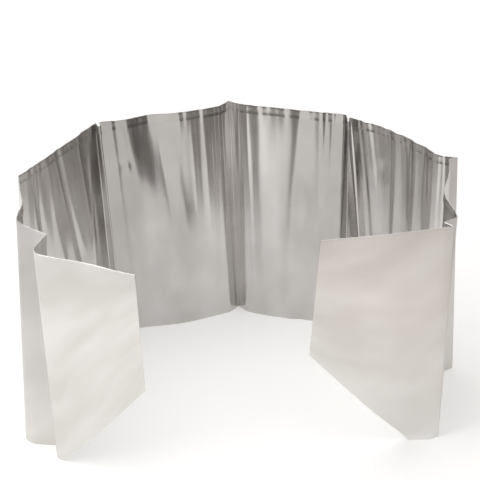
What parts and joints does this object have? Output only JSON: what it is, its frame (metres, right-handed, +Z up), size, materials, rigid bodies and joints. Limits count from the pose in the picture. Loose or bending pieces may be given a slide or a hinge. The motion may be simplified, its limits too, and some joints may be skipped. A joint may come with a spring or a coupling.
{
  "type": "stove windscreen",
  "caption": "Folding foil windscreen: a strip of soft aluminium creased into panels, standing as an open ring round a camping stove, with slant-cut front flaps; folds flat",
  "frame": {"origin": "centre of the standing ring's plan box, on the ground", "axes": "+Z up; +X to the right seen from the open front; +Y to the back of the ring, so the gap between the flaps faces -Y"},
  "size_m": [0.3112, 0.2496, 0.175],
  "materials": {
    "foil": "soft aluminium sheet, mill bright with a satin sheen, lightly dented"
  },
  "bodies": {
    "left_flap": {"left_flap": "foil"},
    "crease_1_left_lip": {"crease_1_left_lip": "foil"},
    "crease_1_right_lip": {"crease_1_right_lip": "foil"},
    "left_side_panel": {"left_side_panel": "foil"},
    "crease_2_left_lip": {"crease_2_left_lip": "foil"},
    "crease_2_right_lip": {"crease_2_right_lip": "foil"},
    "left_rear_panel": {"left_rear_panel": "foil"},
    "crease_3_left_lip": {"crease_3_left_lip": "foil"},
    "crease_3_right_lip": {"crease_3_right_lip": "foil"},
    "left_back_panel": {"left_back_panel": "foil"},
    "crease_4_left_lip": {"crease_4_left_lip": "foil"},
    "crease_4_right_lip": {"crease_4_right_lip": "foil"},
    "right_back_panel": {"right_back_panel": "foil"},
    "crease_5_left_lip": {"crease_5_left_lip": "foil"},
    "crease_5_right_lip": {"crease_5_right_lip": "foil"},
    "right_rear_panel": {"right_rear_panel": "foil"},
    "crease_6_left_lip": {"crease_6_left_lip": "foil"},
    "crease_6_right_lip": {"crease_6_right_lip": "foil"},
    "right_side_panel": {"right_side_panel": "foil"},
    "crease_7_left_lip": {"crease_7_left_lip": "foil"},
    "crease_7_right_lip": {"crease_7_right_lip": "foil"},
    "right_flap": {"right_flap": "foil"}
  },
  "joints": [
    {"name": "crease_1_left_bend", "type": "hinge", "parent": "crease_1_left_lip", "child": "left_flap", "pos_m": [-0.1393, -0.09366, 0.0875], "axis": [0, 0, -1], "range_deg": [0, 96.6]},
    {"name": "crease_1_fold", "type": "hinge", "parent": "crease_1_right_lip", "child": "crease_1_left_lip", "pos_m": [-0.12809, -0.0691, 0.0875], "axis": [0, 0, -1], "range_deg": [0, 49.1]},
    {"name": "crease_1_right_bend", "type": "hinge", "parent": "left_side_panel", "child": "crease_1_right_lip", "pos_m": [-0.15506, -0.06794, 0.0875], "axis": [0, 0, -1], "range_deg": [0, 96.6]},
    {"name": "crease_2_left_bend", "type": "hinge", "parent": "crease_2_left_lip", "child": "left_side_panel", "pos_m": [-0.15326, 0.00089, 0.0875], "axis": [0, 0, 1], "range_deg": [0, 8.6]},
    {"name": "crease_2_fold", "type": "hinge", "parent": "crease_2_right_lip", "child": "crease_2_left_lip", "pos_m": [-0.15493, 0.00974, 0.0875], "axis": [0, 0, 1], "range_deg": [0, 122.6]},
    {"name": "crease_2_right_bend", "type": "hinge", "parent": "left_rear_panel", "child": "crease_2_right_lip", "pos_m": [-0.1493, 0.01678, 0.0875], "axis": [0, 0, 1], "range_deg": [0, 8.6]},
    {"name": "crease_3_left_bend", "type": "hinge", "parent": "crease_3_left_lip", "child": "left_rear_panel", "pos_m": [-0.10192, 0.08975, 0.0875], "axis": [0, 0, -1], "range_deg": [0, 91.6]},
    {"name": "crease_3_fold", "type": "hinge", "parent": "crease_3_right_lip", "child": "crease_3_left_lip", "pos_m": [-0.09424, 0.08502, 0.0875], "axis": [0, 0, -1], "range_deg": [0, 32.1]},
    {"name": "crease_3_right_bend", "type": "hinge", "parent": "left_back_panel", "child": "crease_3_right_lip", "pos_m": [-0.09652, 0.09374, 0.0875], "axis": [0, 0, -1], "range_deg": [0, 91.6]},
    {"name": "crease_4_left_bend", "type": "hinge", "parent": "left_back_panel", "child": "crease_4_left_lip", "pos_m": [-0.01674, 0.11661, 0.0875], "axis": [0, 0, -1], "range_deg": [0, 21.6]},
    {"name": "crease_4_fold", "type": "hinge", "parent": "crease_4_left_lip", "child": "crease_4_right_lip", "pos_m": [-0.00615, 0.12417, 0.0875], "axis": [0, 0, -1], "range_deg": [0, 104]},
    {"name": "crease_4_right_bend", "type": "hinge", "parent": "crease_4_right_lip", "child": "right_back_panel", "pos_m": [0.00506, 0.11757, 0.0875], "axis": [0, 0, -1], "range_deg": [0, 21.6]},
    {"name": "crease_5_left_bend", "type": "hinge", "parent": "right_back_panel", "child": "crease_5_left_lip", "pos_m": [0.08261, 0.10249, 0.0875], "axis": [0, 0, 1], "range_deg": [0, 92.4]},
    {"name": "crease_5_fold", "type": "hinge", "parent": "crease_5_left_lip", "child": "crease_5_right_lip", "pos_m": [0.08006, 0.08973, 0.0875], "axis": [0, 0, 1], "range_deg": [0, 26.1]},
    {"name": "crease_5_right_bend", "type": "hinge", "parent": "crease_5_right_lip", "child": "right_rear_panel", "pos_m": [0.08977, 0.0984, 0.0875], "axis": [0, 0, 1], "range_deg": [0, 92.4]},
    {"name": "crease_6_left_bend", "type": "hinge", "parent": "right_rear_panel", "child": "crease_6_left_lip", "pos_m": [0.14313, 0.04016, 0.0875], "axis": [0, 0, -1], "range_deg": [0, 23.6]},
    {"name": "crease_6_fold", "type": "hinge", "parent": "crease_6_left_lip", "child": "crease_6_right_lip", "pos_m": [0.15493, 0.03466, 0.0875], "axis": [0, 0, -1], "range_deg": [0, 74.6]},
    {"name": "crease_6_right_bend", "type": "hinge", "parent": "crease_6_right_lip", "child": "right_side_panel", "pos_m": [0.14728, 0.02414, 0.0875], "axis": [0, 0, -1], "range_deg": [0, 23.6]},
    {"name": "crease_7_left_bend", "type": "hinge", "parent": "right_side_panel", "child": "crease_7_left_lip", "pos_m": [0.14866, -0.05487, 0.0875], "axis": [0, 0, 1], "range_deg": [0, 117.1]},
    {"name": "crease_7_fold", "type": "hinge", "parent": "crease_7_left_lip", "child": "crease_7_right_lip", "pos_m": [0.13677, -0.05313, 0.0875], "axis": [0, 0, 1], "range_deg": [0, 16.1]},
    {"name": "crease_7_right_bend", "type": "hinge", "parent": "crease_7_right_lip", "child": "right_flap", "pos_m": [0.14423, -0.06255, 0.0875], "axis": [0, 0, 1], "range_deg": [0, 117.1]}
  ],
  "couplings": [
    {"joint": "crease_1_left_bend", "follows": "crease_4_fold", "ratio": 0.92788},
    {"joint": "crease_1_fold", "follows": "crease_4_fold", "ratio": 0.47115},
    {"joint": "crease_1_right_bend", "follows": "crease_4_fold", "ratio": 0.92788},
    {"joint": "crease_2_left_bend", "follows": "crease_4_fold", "ratio": 0.081731},
    {"joint": "crease_2_fold", "follows": "crease_4_fold", "ratio": 1.1779},
    {"joint": "crease_2_right_bend", "follows": "crease_4_fold", "ratio": 0.081731},
    {"joint": "crease_3_left_bend", "follows": "crease_4_fold", "ratio": 0.87981},
    {"joint": "crease_3_fold", "follows": "crease_4_fold", "ratio": 0.30769},
    {"joint": "crease_3_right_bend", "follows": "crease_4_fold", "ratio": 0.87981},
    {"joint": "crease_4_left_bend", "follows": "crease_4_fold", "ratio": 0.20673},
    {"joint": "crease_4_right_bend", "follows": "crease_4_fold", "ratio": 0.20673},
    {"joint": "crease_5_left_bend", "follows": "crease_4_fold", "ratio": 0.88702},
    {"joint": "crease_5_fold", "follows": "crease_4_fold", "ratio": 0.25},
    {"joint": "crease_5_right_bend", "follows": "crease_4_fold", "ratio": 0.88702},
    {"joint": "crease_6_left_bend", "follows": "crease_4_fold", "ratio": 0.22596},
    {"joint": "crease_6_fold", "follows": "crease_4_fold", "ratio": 0.71635},
    {"joint": "crease_6_right_bend", "follows": "crease_4_fold", "ratio": 0.22596},
    {"joint": "crease_7_left_bend", "follows": "crease_4_fold", "ratio": 1.125},
    {"joint": "crease_7_fold", "follows": "crease_4_fold", "ratio": 0.15385},
    {"joint": "crease_7_right_bend", "follows": "crease_4_fold", "ratio": 1.125}
  ]
}
